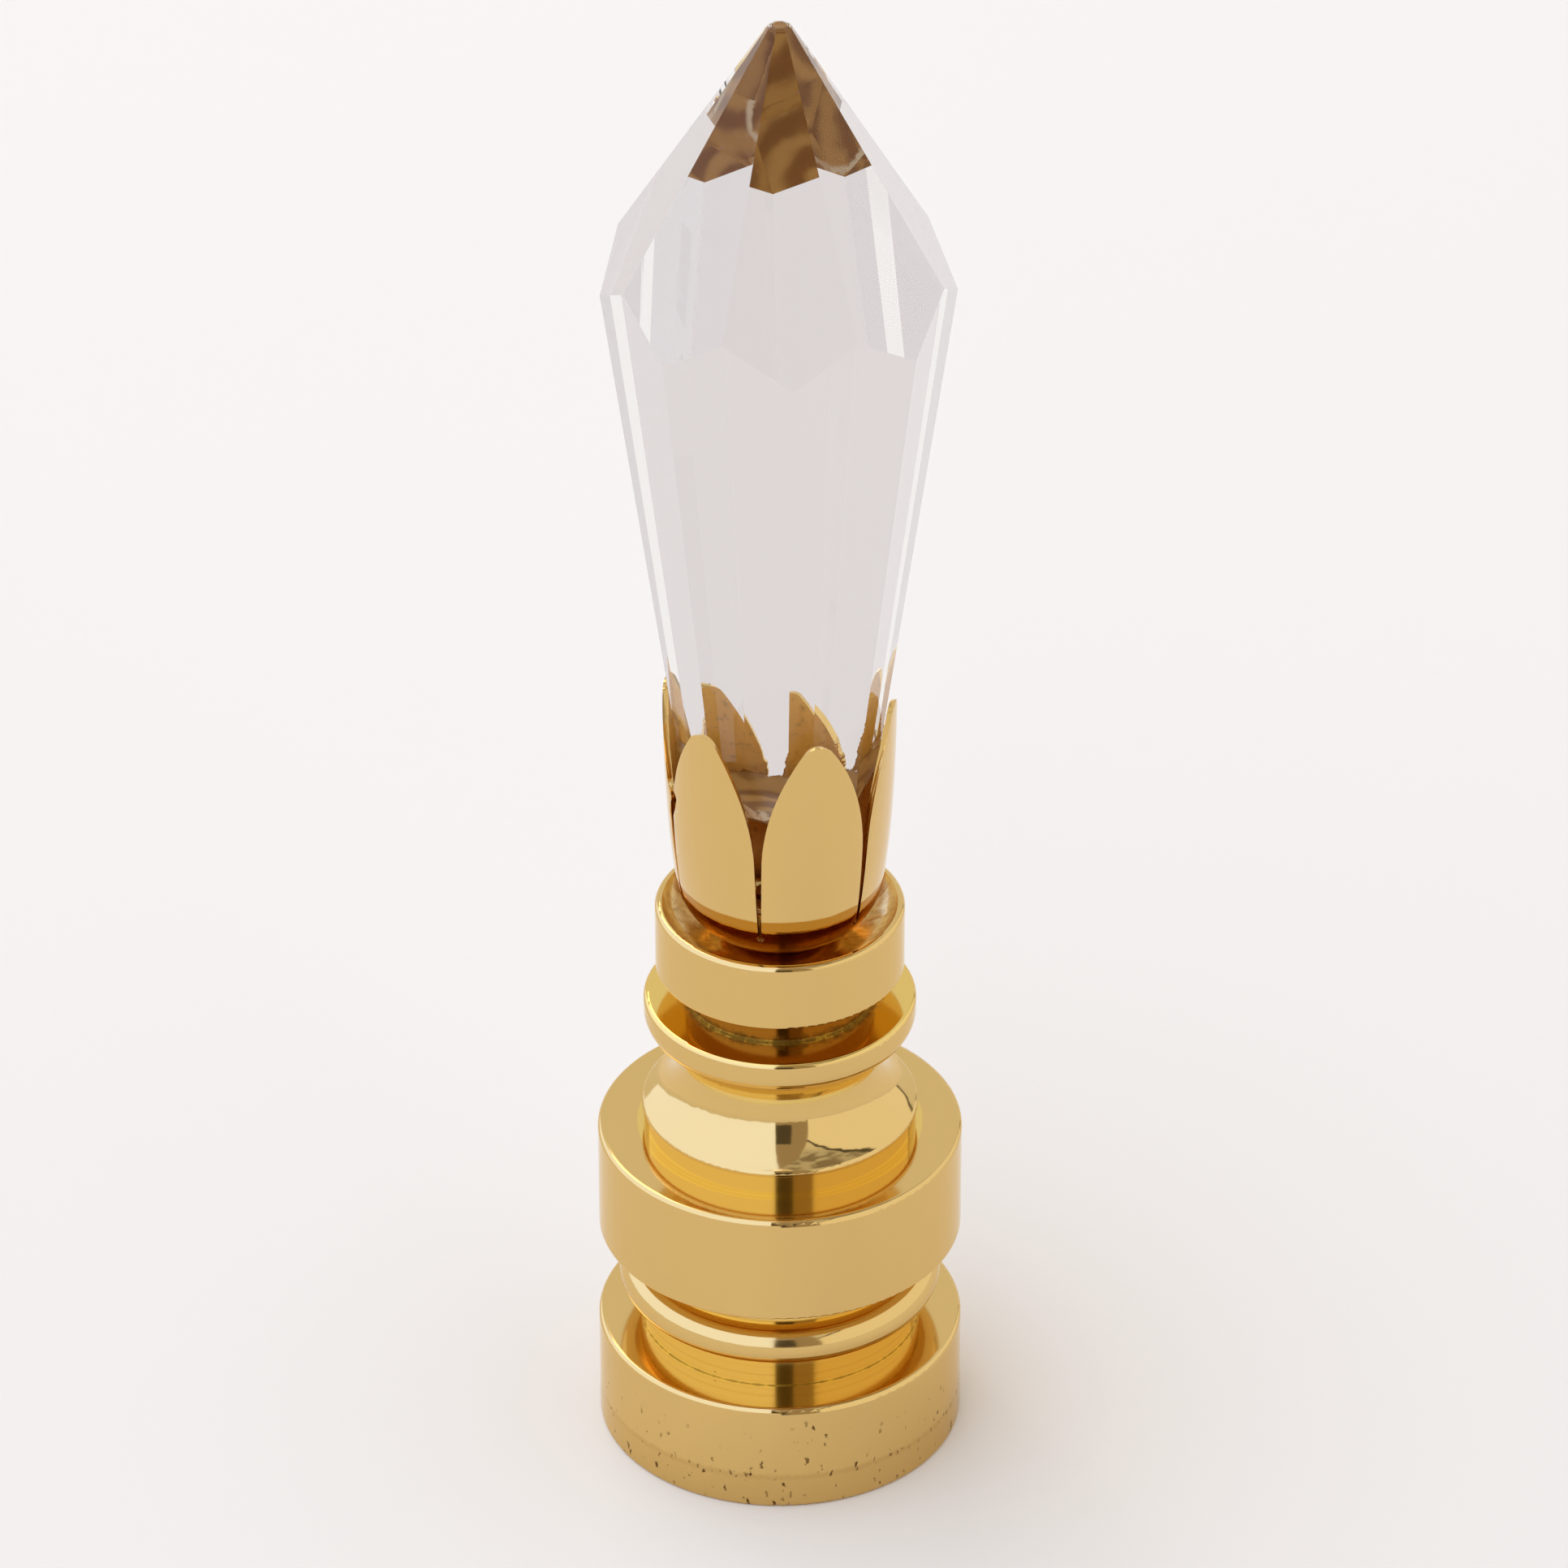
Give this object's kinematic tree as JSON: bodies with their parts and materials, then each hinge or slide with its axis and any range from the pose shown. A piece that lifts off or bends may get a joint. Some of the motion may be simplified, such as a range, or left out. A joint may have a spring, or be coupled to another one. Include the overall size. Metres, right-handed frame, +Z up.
{
  "type": "crystal lamp finial",
  "caption": "Faceted clear crystal drop held in a leaf-petal brass cup on a turned brass base, with a tapped hole underneath that screws onto a lamp harp to hold the shade.",
  "frame": {"origin": "centre of the foot's underside, on the axis of the tapped hole", "axes": "+Z up along the axis to the point of the crystal; -Y towards the camera of the picture"},
  "size_m": [0.019, 0.019, 0.0817],
  "materials": {
    "base_brass": "polished, lacquered",
    "cup_brass": "polished sheet",
    "screw_brass": "plain",
    "crystal": "cut and polished clear glass"
  },
  "bodies": {
    "root": {"turned_base": "base_brass", "petal_cup": "cup_brass", "cup_screw": "screw_brass", "crystal_drop": "crystal"}
  },
  "joints": []
}
